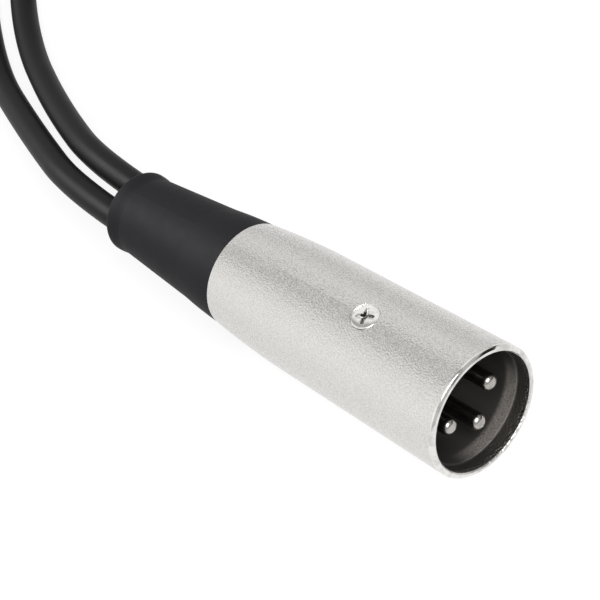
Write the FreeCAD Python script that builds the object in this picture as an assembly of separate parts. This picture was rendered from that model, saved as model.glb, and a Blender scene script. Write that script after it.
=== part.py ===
"""Splitter cable for balanced audio: a three-pin male plug, a moulded Y boot, two legs and two female plugs.

Millimetres. +X runs out of the male plug's mouth, +Z is up, and the table is Z = 0. The origin is
the middle of the male plug's underside. Each plug is modelled along its own axis, with its mating
face at X = 0 and its rear on -X, and is then placed. The plugs lie on their rims on the table, and
each leg runs down to the table and up again into its plug.
"""
import FreeCAD, Part
import math
import os

Vector = FreeCAD.Vector

# Shells
RIM_RADIUS = 9.3
RIM_ROUND = 0.5
RIM_BAND = 1.2
SHELL_TAPER = 0.68
WAIST_RADIUS = RIM_RADIUS - SHELL_TAPER
REAR_DROP = 0.9
REAR_RADIUS = WAIST_RADIUS - REAR_DROP
REAR_CURVE = 11.6
REAR_CURVE_RISE = 0.11
SHELL_WALL = 1.38
SHELL_BORE_RADIUS = RIM_RADIUS - SHELL_WALL
REAR_WALL = 0.87
SPIGOT_RADIUS = REAR_RADIUS - REAR_WALL
SPIGOT_LENGTH = 5.6
BORE_CONE = 1.6
SEAT_GAP = 0.04
JOINT_GAP = 0.08

# Male shell and its mouth
MALE_SHELL_LENGTH = 44.6
MOUTH_WALL = 0.85
MOUTH_RADIUS = RIM_RADIUS - MOUTH_WALL
MOUTH_BEVEL = 0.15
MOUTH_DEPTH = 2.05
LATCH_RELIEF_HALF_ANGLE = 52.0
LATCH_RELIEF_DEPTH = 0.16
POCKET_MIDDLE = 8.0
POCKET_LENGTH = 3.8
POCKET_WIDTH = 4.8
POCKET_LID = 0.52
POCKET_REACH = RIM_RADIUS - POCKET_LID

# Male insert
CUP_WALL = 0.35
CUP_RADIUS = MOUTH_RADIUS - CUP_WALL
CAVITY_DEPTH = 14.0
INSERT_FLOOR_THICKNESS = 6.8
INSERT_SHOULDER = 1.2
KEY_ROOT = 0.1
CUP_LEAD_IN = 0.12
KEY_WIDTH = 2.4
KEY_HEIGHT = 1.1
KEY_LENGTH = 2.6

# Female nose
NOSE_CLEARANCE = 0.15
NOSE_RADIUS = CUP_RADIUS - NOSE_CLEARANCE
NOSE_LENGTH = 15.5
NOSE_WALL = 0.93
NOSE_BORE_RADIUS = NOSE_RADIUS - NOSE_WALL
NOSE_ROUND = 0.3

# Contacts, on one circle in both kinds of plug
SOCKET_RADIUS = 1.68
SOCKET_EDGE = 1.37
CONTACT_CIRCLE_RADIUS = NOSE_BORE_RADIUS - SOCKET_RADIUS - SOCKET_EDGE
CONTACT_ANGLES = {1: 0.0, 2: 180.0, 3: 270.0}
PIN_RADIUS = 1.18
PIN_ROOT_STEP = 0.16
PIN_ROOT_RADIUS = PIN_RADIUS + PIN_ROOT_STEP
PIN_TIP_DEPTH = 1.9
PIN_TIP_ROUND = 0.95
SOLDER_CUP_LENGTH = 5.0
SOLDER_CUP_BORE_RADIUS = 0.92
SOLDER_CUP_BORE_DEPTH = 4.0
SOLDER_CUP_OPENING = 2.6
SOCKET_BORE_RADIUS = 1.22
SOCKET_BORE_DEPTH = 12.0
SOCKET_LENGTH = 14.0

# Retaining screws
SCREW_HEAD_RADIUS = 2.0
SCREW_HEAD_DEPTH = 0.75
SCREW_HEAD_DOME = 0.16
SCREW_SHANK_RADIUS = 1.0
SCREW_LENGTH = 4.0
SCREW_SINK = 0.22
SCREW_CROSS_LENGTH = 2.3
SCREW_CROSS_WIDTH = 0.5
SCREW_CROSS_DEPTH = 0.5
SCREW_GAP = 0.12
MALE_SCREW_DEPTH = 17.7
FEMALE_SCREW_DEPTH = 34.2

# Boots
BOOT_LENGTH = 24.1
BOOT_SHOULDER = 7.4
BOOT_SHOULDER_DROP = 0.72
BOOT_SHOULDER_RADIUS = REAR_RADIUS - BOOT_SHOULDER_DROP
BOOT_SHOULDER_RISE = 0.09
BOOT_COLLAR_LENGTH = 2.8
Y_BOOT_CONE_DROP = 1.15
Y_BOOT_NECK_RADIUS = BOOT_SHOULDER_RADIUS - Y_BOOT_CONE_DROP
Y_BOOT_COLLAR_RISE = 0.18
Y_BOOT_COLLAR_RADIUS = Y_BOOT_NECK_RADIUS + Y_BOOT_COLLAR_RISE
BOOT_REAR_ROUND = 0.6
BOOT_REAR_DROP = 0.7
BOOT_REAR_WALL = 8.4
BOOT_WALL = 1.5
BOOT_POCKET_RADIUS = BOOT_SHOULDER_RADIUS - BOOT_WALL

# Cable and what holds it. Two cables lie side by side in the Y boot's pocket.
EXIT_WEB = 1.1
CABLE_EDGE = 0.75
CABLE_RADIUS = (BOOT_POCKET_RADIUS - EXIT_WEB / 2 - CABLE_EDGE) / 2
CABLE_GAP = 0.05
EXIT_SPACING = 2 * CABLE_RADIUS + EXIT_WEB
LEG_CLAMP_WALL = 1.9
LEG_BOOT_POCKET_RADIUS = CABLE_RADIUS + LEG_CLAMP_WALL
LEG_BOOT_WALL = 0.7
LEG_BOOT_NECK_RADIUS = LEG_BOOT_POCKET_RADIUS + LEG_BOOT_WALL
LEG_BOOT_COLLAR_RISE = 0.25
LEG_BOOT_COLLAR_RADIUS = LEG_BOOT_NECK_RADIUS + LEG_BOOT_COLLAR_RISE
CLAMP_LENGTH = 7.0
CLAMP_SLOT = 0.8
CUT_MARGIN = 1.0
WIRE_SHARE = 0.2
WIRE_RADIUS = WIRE_SHARE * CABLE_RADIUS
WIRE_CIRCLE_SHARE = 0.62
WIRE_CIRCLE_RADIUS = WIRE_CIRCLE_SHARE * CABLE_RADIUS
WIRE_TWIST = 55.0
WIRE_LEAD = 1.6

# Ground contacts
GROUND_RING = 0.9
GROUND_STRIP = 0.3
GROUND_WIDTH = 2.4
GROUND_TAB = 3.0

# Female shell
FEMALE_SHELL_LENGTH = 46.0
KEYWAY_WIDTH = 3.0
KEYWAY_DEPTH = 3.2
KEYWAY_RECESS = 0.72
KEYWAY_FLOOR = NOSE_BORE_RADIUS - KEYWAY_RECESS

# Female insert
FEMALE_INSERT_RECESS = 0.4
FLANGE_LENGTH = 4.2
SADDLE_LENGTH = 16.4
SOCKET_GAP = 0.05

# Latch
LATCH_WIDTH = 3.6
LATCH_SIDE_GAP = 0.35
LATCH_ARM_COVER = 0.65
LATCH_ARM_TOP = NOSE_RADIUS - LATCH_ARM_COVER
LATCH_ARM_THICKNESS = 1.1
LATCH_BRIDGE = 1.0
HOOK_MIDDLE = 6.0
HOOK_LENGTH = 3.0
HOOK_HEADROOM = 0.13
HOOK_TOP = POCKET_REACH - HOOK_HEADROOM
LATCH_NOSE_GAP = 0.4
PIVOT_DEPTH = 28.8
PIVOT_DROP = 1.7
PIVOT_HEIGHT = LATCH_ARM_TOP - PIVOT_DROP
TRUNNION_RADIUS = 0.9
TRUNNION_GAP = 0.05
TRUNNION_SPAN = 6.4
PIVOT_EYE_RADIUS = 1.5
TAB_FRONT = 18.2
TAB_LENGTH = 7.2
TAB_WIDTH = 6.0
TAB_RISE = 1.0
TAB_TOP = RIM_RADIUS + TAB_RISE
TAB_ROUND = 0.5
TAB_GROOVES = 4
TAB_GROOVE = 0.45
TAB_WINDOW_GAP = 0.35
SLOT_DROP = 3.3
SLOT_FLOOR = LATCH_ARM_TOP - SLOT_DROP
SADDLE_THICKNESS = 1.0
SADDLE_FLOOR = SLOT_FLOOR - SADDLE_THICKNESS

# Latch spring, a bent leaf
SPRING_STRIP = 0.25
SPRING_WIDTH = 2.4
SPRING_FRONT = 20.6
SPRING_LENGTH = 5.4
SPRING_GAP = 0.03

# Places
FACE_X = (MALE_SHELL_LENGTH + BOOT_LENGTH) / 2
FEMALE_REAR_X = -173.65
FEMALE_LENGTH = FEMALE_SHELL_LENGTH + BOOT_LENGTH

# Each leg's route in plan and height. The first point lies inside the Y boot and the last inside
# the leg's own boot. The plugs lie on their rims, and a leg between them lies on the table.
EXIT = EXIT_SPACING / 2
LEG_SHARE = 0.47
LEG_HEIGHT = CABLE_RADIUS + LEG_SHARE * (RIM_RADIUS - CABLE_RADIUS)
LEGS = {
    "a": [
        (-22.15, EXIT, RIM_RADIUS),
        (-44.65, EXIT, RIM_RADIUS),
        (-66.0, 9.1, LEG_HEIGHT),
        (-86.4, 18.2, CABLE_RADIUS),
        (-103.8, 32.6, CABLE_RADIUS),
        (-128.65, 36.8, CABLE_RADIUS),
        (-148.65, 30.6, CABLE_RADIUS),
        (-166.65, 27.0, RIM_RADIUS),
        (-185.0, 27.0, RIM_RADIUS),
    ],
    "b": [
        (-22.15, -EXIT, RIM_RADIUS),
        (-44.65, -EXIT, RIM_RADIUS),
        (-66.0, 3.65, LEG_HEIGHT),
        (-86.8, 11.0, CABLE_RADIUS),
        (-108.5, 27.0, CABLE_RADIUS),
        (-128.65, 28.2, CABLE_RADIUS),
        (-148.15, 13.5, CABLE_RADIUS),
        (-166.65, 7.5, RIM_RADIUS),
        (-185.0, 7.5, RIM_RADIUS),
    ],
}
ARC_SHARE = 0.45
PARTS_FOLDER = "parts"


# Drawing helpers


def section(start, *steps):
    """A closed face in the XZ plane. A step is a point, or a pair of points for an arc through the first."""
    edges = []
    here = start
    for step in steps + (start,):
        if isinstance(step[0], tuple):
            via, there = step
            arc = Part.Arc(*[Vector(x, 0, z) for x, z in (here, via, there)])
            edges.append(arc.toShape())
        else:
            there = step
            edges.append(Part.makeLine(Vector(here[0], 0, here[1]), Vector(there[0], 0, there[1])))
        here = there
    return Part.Face(Part.Wire(edges))


def turned(face):
    """The solid that a section makes when it turns about the plug's axis."""
    return face.revolve(Vector(0, 0, 0), Vector(1, 0, 0), 360)


def rod(front, rear, radius, y=0.0, z=0.0):
    """A cylinder along the plug, given by the depths of its two ends behind the mating face."""
    return Part.makeCylinder(radius, rear - front, Vector(-rear, y, z), Vector(1, 0, 0))


def block(front, rear, width, bottom, top):
    """A box centred on the plug's upright plane."""
    return Part.makeBox(rear - front, width, top - bottom, Vector(-rear, -width / 2, bottom))


def strip(face, width):
    """A section in the XZ plane given a width across the plug."""
    moved = face.copy()
    moved.translate(Vector(0, -width / 2, 0))
    return moved.extrude(Vector(0, width, 0))


def contact_place(number):
    """Where one contact stands across the plug."""
    angle = math.radians(CONTACT_ANGLES[number])
    return CONTACT_CIRCLE_RADIUS * math.cos(angle), CONTACT_CIRCLE_RADIUS * math.sin(angle)


def path_of(points):
    """Straight runs joined by arcs that are as large as their two runs allow, and the arcs' radii."""
    corners = [Vector(*point) for point in points]
    edges = []
    radii = []
    here = corners[0]
    for before, corner, after in zip(corners, corners[1:], corners[2:]):
        arriving = corner - before
        leaving = after - corner
        half_turn = arriving.getAngle(leaving) / 2
        reach = ARC_SHARE * min(arriving.Length, leaving.Length)
        radius = reach / math.tan(half_turn)
        start = corner - arriving.normalize() * reach
        end = corner + leaving.normalize() * reach
        inward = (end - corner) + (start - corner)
        inward.normalize()
        middle = corner + inward * (radius / math.cos(half_turn) - radius)
        edges.append(Part.LineSegment(here, start).toShape())
        edges.append(Part.Arc(start, middle, end).toShape())
        radii.append(radius)
        here = end
    edges.append(Part.LineSegment(here, corners[-1]).toShape())
    return Part.Wire(edges), radii


def tube(points, radius):
    """A round cord along a path, the path's length and its arcs' radii."""
    path, radii = path_of(points)
    start = Vector(*points[0])
    disc = Part.Wire([Part.makeCircle(radius, start, Vector(*points[1]) - start)])
    solid = path.makePipeShell([disc], True, False)
    return solid, path.Length, radii


# Pieces that both kinds of plug have


def shell_outline(front, length):
    """The outer profile of a shell from its rim, at a given depth, to its rear end."""
    waist = length - REAR_CURVE
    middle_radius = (WAIST_RADIUS + REAR_RADIUS) / 2 + REAR_CURVE_RISE
    rim_arc = ((-front - RIM_ROUND * 0.3, RIM_RADIUS - RIM_ROUND * 0.3), (-front - RIM_ROUND, RIM_RADIUS))
    rear_arc = ((-waist - REAR_CURVE / 2, middle_radius), (-length, REAR_RADIUS))
    return [
        (-front, RIM_RADIUS - RIM_ROUND),
        rim_arc,
        (-front - RIM_BAND, RIM_RADIUS),
        (-waist, WAIST_RADIUS),
        rear_arc,
    ]


def shell_bore(front, length):
    """The bore of a shell behind its front part: insert seat, cone and boot seat."""
    seat_end = length - SPIGOT_LENGTH
    cone_start = seat_end - BORE_CONE
    return turned(
        section(
            (-front, 0.0),
            (-front, SHELL_BORE_RADIUS),
            (-cone_start, SHELL_BORE_RADIUS),
            (-seat_end, SPIGOT_RADIUS),
            (-length - 1.0, SPIGOT_RADIUS),
            (-length - 1.0, 0.0),
        )
    )


def shell_radius(depth, front, length):
    """The outer radius of a shell on its straight taper."""
    share = (depth - front - RIM_BAND) / (length - REAR_CURVE - front - RIM_BAND)
    return RIM_RADIUS + share * (WAIST_RADIUS - RIM_RADIUS)


def screw_seat(depth, surface):
    """The countersunk hole that a retaining screw needs in its shell."""
    top = surface + 1.0
    bottom = surface - SCREW_SINK - SCREW_HEAD_DEPTH
    hole = SCREW_SHANK_RADIUS + SCREW_GAP
    head = SCREW_HEAD_RADIUS + SCREW_GAP
    shaft = Part.makeCylinder(hole, top, Vector(-depth, 0, 0))
    cone = Part.makeCone(hole, head, SCREW_HEAD_DEPTH, Vector(-depth, 0, bottom))
    mouth = Part.makeCylinder(head, top - surface + SCREW_SINK, Vector(-depth, 0, surface - SCREW_SINK))
    return shaft.fuse([cone, mouth])


def screw_hole(depth, surface):
    """The hole for a retaining screw in an insert, with room for the foot of the head where it reaches in."""
    bottom = surface - SCREW_SINK - SCREW_LENGTH - SCREW_GAP
    head_foot = surface - SCREW_SINK - SCREW_HEAD_DEPTH - SCREW_GAP
    hole = Part.makeCylinder(SCREW_SHANK_RADIUS + SEAT_GAP, RIM_RADIUS - bottom, Vector(-depth, 0, bottom))
    rim = SCREW_HEAD_RADIUS + SCREW_GAP
    foot = SCREW_SHANK_RADIUS + SCREW_GAP
    return hole.fuse(Part.makeCone(foot, rim, SCREW_HEAD_DEPTH, Vector(-depth, 0, head_foot)))


def retaining_screw(depth, surface):
    """A countersunk screw with a domed head and a cross recess."""
    top = surface - SCREW_SINK
    neck = top - SCREW_HEAD_DEPTH
    foot = top - SCREW_LENGTH
    profile = section(
        (0.0, foot),
        (SCREW_SHANK_RADIUS, foot),
        (SCREW_SHANK_RADIUS, neck),
        (SCREW_HEAD_RADIUS, top),
        ((SCREW_HEAD_RADIUS / 2, top + SCREW_HEAD_DOME * 0.75), (0.0, top + SCREW_HEAD_DOME)),
    )
    screw = profile.revolve(Vector(0, 0, 0), Vector(0, 0, 1), 360)
    cross_height = SCREW_CROSS_DEPTH + SCREW_HEAD_DOME
    along = (SCREW_CROSS_LENGTH, SCREW_CROSS_WIDTH)
    across = (SCREW_CROSS_WIDTH, SCREW_CROSS_LENGTH)
    for side_x, side_y in (along, across):
        corner = Vector(-side_x / 2, -side_y / 2, top - SCREW_CROSS_DEPTH)
        screw = screw.cut(Part.makeBox(side_x, side_y, cross_height, corner))
    screw.translate(Vector(-depth, 0, 0))
    return screw


def solder_cup(rear, radius, y, z):
    """The hollow of a contact's rear end, with its side cut away to take the wires from above."""
    hollow = rod(rear - SOLDER_CUP_BORE_DEPTH, rear + 1.0, SOLDER_CUP_BORE_RADIUS, y, z)
    corner = Vector(-rear - 1.0, y - 2 * radius, z + 0.35 * radius)
    side = Part.makeBox(SOLDER_CUP_OPENING + 1.0, 4 * radius, 2 * radius, corner)
    return hollow.fuse(side)


def boot(shell_length, neck_radius, collar_radius, pocket_radius, exits):
    """A moulded boot: spigot in the shell, curved shoulder, cone, collar, and one bore for each cable."""
    front = shell_length - SPIGOT_LENGTH + SEAT_GAP
    joint = shell_length + JOINT_GAP
    rear = shell_length + BOOT_LENGTH
    neck = rear - BOOT_COLLAR_LENGTH
    shoulder = shell_length + BOOT_SHOULDER
    joint_radius = REAR_RADIUS - SEAT_GAP
    spigot = SPIGOT_RADIUS - SEAT_GAP
    shoulder_rise = (joint_radius + BOOT_SHOULDER_RADIUS) / 2 + BOOT_SHOULDER_RISE
    crest = rear - BOOT_REAR_ROUND
    swell = collar_radius - neck_radius
    swell_start = (-neck - (crest - neck) * 0.3, neck_radius + swell * 0.2)
    swell_middle = (-neck - (crest - neck) * 0.72, neck_radius + swell * 0.85)
    corner = (-crest - BOOT_REAR_ROUND * math.sqrt(0.5), collar_radius - BOOT_REAR_DROP * (1 - math.sqrt(0.5)))
    body = turned(
        section(
            (-front, 0.0),
            (-front, spigot),
            (-joint, spigot),
            (-joint, joint_radius),
            ((-(joint + shoulder) / 2, shoulder_rise), (-shoulder, BOOT_SHOULDER_RADIUS)),
            (-neck, neck_radius),
            swell_start,
            (swell_middle, (-crest, collar_radius)),
            (corner, (-rear, collar_radius - BOOT_REAR_DROP)),
            (-rear, 0.0),
        )
    )
    body = body.cut(rod(front - 1.0, rear - BOOT_REAR_WALL, pocket_radius))
    for y in exits:
        body = body.cut(rod(rear - BOOT_REAR_WALL - 1.0, rear + 1.0, CABLE_RADIUS + CABLE_GAP, y))
    return body


def cable_clamp(shell_length, pocket_radius, exits):
    """A split nylon block in the boot's pocket that grips each cable's jacket."""
    rear = shell_length + BOOT_LENGTH - BOOT_REAR_WALL
    front = rear - CLAMP_LENGTH
    body = rod(front, rear - SEAT_GAP, pocket_radius - SEAT_GAP)
    slot_length = CLAMP_LENGTH + 2 * CUT_MARGIN
    slot_corner = -rear - CUT_MARGIN
    for y in exits:
        body = body.cut(rod(front - CUT_MARGIN, rear + CUT_MARGIN, CABLE_RADIUS + CABLE_GAP, y))
        corner = Vector(slot_corner, y - CLAMP_SLOT / 2, 0)
        body = body.cut(Part.makeBox(slot_length, CLAMP_SLOT, pocket_radius + CUT_MARGIN, corner))
    return body


def ground_contact(face, reach, radius):
    """A bent strip on an insert's rear face, from contact 1 to the shell's wall."""
    y, z = contact_place(1)
    ring = rod(face, face + GROUND_STRIP, radius + GROUND_RING, y, z)
    wall = reach - SEAT_GAP
    arm_corner = Vector(-face - GROUND_STRIP, y, -GROUND_WIDTH / 2)
    arm = Part.makeBox(GROUND_STRIP, wall - y, GROUND_WIDTH, arm_corner)
    tab_corner = Vector(-face - GROUND_TAB, wall - GROUND_STRIP, -GROUND_WIDTH / 2)
    tab = Part.makeBox(GROUND_TAB, GROUND_STRIP, GROUND_WIDTH, tab_corner)
    sheet = ring.fuse([arm, tab]).common(rod(face - 1.0, face + GROUND_TAB + 1.0, wall))
    return sheet.cut(rod(face - 1.0, face + GROUND_TAB + 1.0, radius + SEAT_GAP, y, z)).removeSplitter()


def wires(jacket_end, jacket_y, cup_rear, side_step):
    """The three insulated wires from a cable's jacket to the solder cups, by contact number."""
    made = {}
    for number in CONTACT_ANGLES:
        y, z = contact_place(number)
        angle = math.radians(CONTACT_ANGLES[number] + WIRE_TWIST)
        start_y = jacket_y + WIRE_CIRCLE_RADIUS * math.cos(angle)
        start_z = WIRE_CIRCLE_RADIUS * math.sin(angle)
        end_y = y + side_step
        inside = SOLDER_CUP_BORE_DEPTH / 2
        points = [
            (-jacket_end, start_y, start_z),
            (-jacket_end + WIRE_LEAD, start_y, start_z),
            (-cup_rear - WIRE_LEAD, end_y, z),
            (-cup_rear + inside, end_y, z),
        ]
        made[number], _, _ = tube(points, WIRE_RADIUS)
    return made


# The male plug


def male_shell():
    """Die-cast shell: rolled rim, mouth, insert seat with a step, screw seat and boot seat."""
    face_radius = MOUTH_RADIUS + MOUTH_BEVEL
    shoulder = CAVITY_DEPTH + INSERT_SHOULDER
    outline = shell_outline(0.0, MALE_SHELL_LENGTH)
    body = turned(section((0.0, 0.0), *outline, (-MALE_SHELL_LENGTH, 0.0)))
    mouth = turned(
        section(
            (1.0, 0.0),
            (1.0, face_radius),
            (0.0, face_radius),
            (-MOUTH_BEVEL, MOUTH_RADIUS),
            (-shoulder, MOUTH_RADIUS),
            (-shoulder, 0.0),
        )
    )
    body = body.cut(mouth).cut(shell_bore(shoulder, MALE_SHELL_LENGTH))
    relief = rod(-1.0, MOUTH_DEPTH, MOUTH_RADIUS + LATCH_RELIEF_DEPTH)
    foot = Vector(-MOUTH_DEPTH, 0, 0)
    span = 2 * LATCH_RELIEF_HALF_ANGLE
    wedge = Part.makeCylinder(RIM_RADIUS, MOUTH_DEPTH + 1.0, foot, Vector(1, 0, 0), span)
    middle = wedge.CenterOfMass
    wedge.rotate(Vector(0, 0, 0), Vector(1, 0, 0), 90.0 - math.degrees(math.atan2(middle.z, middle.y)))
    body = body.cut(relief.common(wedge)).cut(latch_pocket())
    surface = shell_radius(MALE_SCREW_DEPTH, 0.0, MALE_SHELL_LENGTH)
    return body.cut(screw_seat(MALE_SCREW_DEPTH, surface)).removeSplitter()


def latch_pocket():
    """The pocket at the top of the mouth that a female plug's hook snaps into."""
    half = POCKET_LENGTH / 2
    return block(POCKET_MIDDLE - half, POCKET_MIDDLE + half, POCKET_WIDTH, CUP_RADIUS - 1.0, POCKET_REACH)


def male_insert():
    """Black insulator: a thin cup that lines the mouth and a thick floor that carries the pins."""
    outer = MOUTH_RADIUS - SEAT_GAP
    seat = SHELL_BORE_RADIUS - SEAT_GAP
    step = CAVITY_DEPTH + INSERT_SHOULDER - SEAT_GAP
    rear = CAVITY_DEPTH + INSERT_FLOOR_THICKNESS
    body = turned(
        section(
            (-MOUTH_DEPTH, CUP_RADIUS + CUP_LEAD_IN),
            (-MOUTH_DEPTH, outer),
            (-step, outer),
            (-step, seat),
            (-rear, seat),
            (-rear, 0.0),
            (-CAVITY_DEPTH, 0.0),
            (-CAVITY_DEPTH, CUP_RADIUS),
            (-MOUTH_DEPTH - 1.5 * CUP_LEAD_IN, CUP_RADIUS),
        )
    )
    key_front = CAVITY_DEPTH - KEY_LENGTH
    key_rear = CAVITY_DEPTH + KEY_ROOT
    key = block(key_front, key_rear, KEY_WIDTH, CUP_RADIUS - KEY_HEIGHT, CUP_RADIUS + KEY_ROOT)
    body = body.fuse(key)
    body = body.cut(latch_pocket())
    for number in CONTACT_ANGLES:
        y, z = contact_place(number)
        body = body.cut(rod(CAVITY_DEPTH - 1.0, rear + 1.0, PIN_ROOT_RADIUS + SEAT_GAP, y, z))
    surface = shell_radius(MALE_SCREW_DEPTH, 0.0, MALE_SHELL_LENGTH)
    return body.cut(screw_hole(MALE_SCREW_DEPTH, surface)).removeSplitter()


def male_pin(number):
    """A contact pin with a rounded tip, a thicker root in the insert's floor and a solder cup."""
    y, z = contact_place(number)
    cup_rear = CAVITY_DEPTH + INSERT_FLOOR_THICKNESS + SOLDER_CUP_LENGTH
    flat = PIN_RADIUS - PIN_TIP_ROUND
    lean = PIN_TIP_ROUND * (1 - math.sqrt(0.5))
    pin = turned(
        section(
            (-PIN_TIP_DEPTH, 0.0),
            (-PIN_TIP_DEPTH, flat),
            ((-PIN_TIP_DEPTH - lean, PIN_RADIUS - lean), (-PIN_TIP_DEPTH - PIN_TIP_ROUND, PIN_RADIUS)),
            (-CAVITY_DEPTH, PIN_RADIUS),
            (-CAVITY_DEPTH, PIN_ROOT_RADIUS),
            (-cup_rear, PIN_ROOT_RADIUS),
            (-cup_rear, 0.0),
        )
    )
    pin.translate(Vector(0, y, z))
    return pin.cut(solder_cup(cup_rear, PIN_ROOT_RADIUS, y, z))


def male_plug():
    """Every piece of the male plug, by node name."""
    insert_rear = CAVITY_DEPTH + INSERT_FLOOR_THICKNESS
    cup_rear = insert_rear + SOLDER_CUP_LENGTH
    exits = [-EXIT_SPACING / 2, EXIT_SPACING / 2]
    surface = shell_radius(MALE_SCREW_DEPTH, 0.0, MALE_SHELL_LENGTH)
    length = MALE_SHELL_LENGTH
    pieces = {
        "male_shell": male_shell(),
        "male_insert": male_insert(),
        "male_retaining_screw": retaining_screw(MALE_SCREW_DEPTH, surface),
        "male_ground_contact": ground_contact(insert_rear, SHELL_BORE_RADIUS, PIN_ROOT_RADIUS),
        "male_cable_clamp": cable_clamp(length, BOOT_POCKET_RADIUS, exits),
        "y_boot": boot(length, Y_BOOT_NECK_RADIUS, Y_BOOT_COLLAR_RADIUS, BOOT_POCKET_RADIUS, exits),
    }
    for number in CONTACT_ANGLES:
        pieces[f"male_pin_{number}"] = male_pin(number)
    for side, points in LEGS.items():
        jacket_end = FACE_X - points[0][0]
        step = math.copysign(WIRE_RADIUS + SEAT_GAP, points[0][1])
        for number, wire in wires(jacket_end, points[0][1], cup_rear, step).items():
            pieces[f"male_wire_{side}_{number}"] = wire
    return pieces


# A female plug


def female_shell():
    """Die-cast shell with a nose that enters the male plug, a latch slot, a tab window and a keyway."""
    shoulder = NOSE_LENGTH
    outline = shell_outline(shoulder, FEMALE_SHELL_LENGTH)
    round_middle = NOSE_ROUND * (1 - math.sqrt(0.5))
    nose_arc = ((-round_middle, NOSE_RADIUS - round_middle), (-NOSE_ROUND, NOSE_RADIUS))
    body = turned(
        section(
            (0.0, 0.0),
            (0.0, NOSE_RADIUS - NOSE_ROUND),
            nose_arc,
            (-shoulder, NOSE_RADIUS),
            *outline,
            (-FEMALE_SHELL_LENGTH, 0.0),
        )
    )
    flange_seat = shoulder + RIM_BAND
    body = body.cut(rod(-1.0, flange_seat, NOSE_BORE_RADIUS))
    body = body.cut(shell_bore(flange_seat, FEMALE_SHELL_LENGTH))
    body = body.cut(block(-1.0, KEYWAY_DEPTH, KEYWAY_WIDTH, KEYWAY_FLOOR, NOSE_RADIUS + 1.0))
    slot = LATCH_WIDTH + 2 * LATCH_SIDE_GAP
    body = body.cut(block(KEYWAY_DEPTH + LATCH_BRIDGE, TAB_FRONT, slot, SLOT_FLOOR, latch_slot_top()))
    window_rear = TAB_FRONT + TAB_LENGTH + TAB_WINDOW_GAP
    window = TAB_WIDTH + 2 * TAB_WINDOW_GAP
    body = body.cut(block(TAB_FRONT - TAB_WINDOW_GAP, window_rear, window, SLOT_FLOOR, TAB_TOP + 1.0))
    surface = shell_radius(FEMALE_SCREW_DEPTH, shoulder, FEMALE_SHELL_LENGTH)
    return body.cut(screw_seat(FEMALE_SCREW_DEPTH, surface)).removeSplitter()


def latch_slot_top():
    """How high the latch slot reaches: through the nose's wall, and under the shell's shoulder."""
    return NOSE_RADIUS + JOINT_GAP


def female_insert():
    """Black insulator: socket block in the nose, flange, and a saddle for the latch and the screw."""
    nose = NOSE_BORE_RADIUS - SEAT_GAP
    seat = SHELL_BORE_RADIUS - SEAT_GAP
    flange_front = NOSE_LENGTH + RIM_BAND + SEAT_GAP
    flange_rear = flange_front + FLANGE_LENGTH
    saddle_rear = flange_rear + SADDLE_LENGTH
    upper_half = block(flange_rear, saddle_rear, 2 * seat, SADDLE_FLOOR, seat)
    saddle = rod(flange_rear, saddle_rear, seat).common(upper_half)
    body = rod(FEMALE_INSERT_RECESS, flange_front, nose).fuse([rod(flange_front, flange_rear, seat), saddle])
    body = body.cut(block(-1.0, KEYWAY_DEPTH, KEYWAY_WIDTH, KEYWAY_FLOOR, nose + 1.0))
    slot = LATCH_WIDTH + 2 * LATCH_SIDE_GAP
    slot_rear = PIVOT_DEPTH + PIVOT_EYE_RADIUS + LATCH_SIDE_GAP
    body = body.cut(block(KEYWAY_DEPTH + LATCH_BRIDGE, slot_rear, slot, SLOT_FLOOR, seat + 1.0))
    tab_bay = TAB_WIDTH + 2 * TAB_WINDOW_GAP
    window_rear = TAB_FRONT + TAB_LENGTH + TAB_WINDOW_GAP
    bay_floor = LATCH_ARM_TOP - LATCH_ARM_THICKNESS
    body = body.cut(block(TAB_FRONT - TAB_WINDOW_GAP, window_rear, tab_bay, bay_floor - 1.0, seat + 1.0))
    trunnion = TRUNNION_RADIUS + TRUNNION_GAP
    span = TRUNNION_SPAN + 2 * TRUNNION_GAP
    hinge_end = Vector(-PIVOT_DEPTH, -span / 2, PIVOT_HEIGHT)
    body = body.cut(Part.makeCylinder(trunnion, span, hinge_end, Vector(0, 1, 0)))
    drop_in_corner = Vector(-PIVOT_DEPTH - trunnion, -span / 2, PIVOT_HEIGHT)
    body = body.cut(Part.makeBox(2 * trunnion, span, seat + 1.0, drop_in_corner))
    for number in CONTACT_ANGLES:
        y, z = contact_place(number)
        body = body.cut(rod(-1.0, flange_rear + 1.0, SOCKET_RADIUS + SOCKET_GAP, y, z))
    surface = shell_radius(FEMALE_SCREW_DEPTH, NOSE_LENGTH, FEMALE_SHELL_LENGTH)
    return body.cut(screw_hole(FEMALE_SCREW_DEPTH, surface)).removeSplitter()


def female_socket(number):
    """A socket contact, flush with the insert's face, with a solder cup behind the flange."""
    y, z = contact_place(number)
    cup_rear = NOSE_LENGTH + RIM_BAND + FLANGE_LENGTH + SOLDER_CUP_LENGTH
    body = rod(FEMALE_INSERT_RECESS, FEMALE_INSERT_RECESS + SOCKET_LENGTH, SOCKET_RADIUS, y, z)
    tail = rod(FEMALE_INSERT_RECESS + SOCKET_LENGTH, cup_rear, SOCKET_RADIUS, y, z)
    bore = rod(-1.0, FEMALE_INSERT_RECESS + SOCKET_BORE_DEPTH, SOCKET_BORE_RADIUS, y, z)
    return body.fuse(tail).cut(bore).cut(solder_cup(cup_rear, SOCKET_RADIUS, y, z)).removeSplitter()


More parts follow.
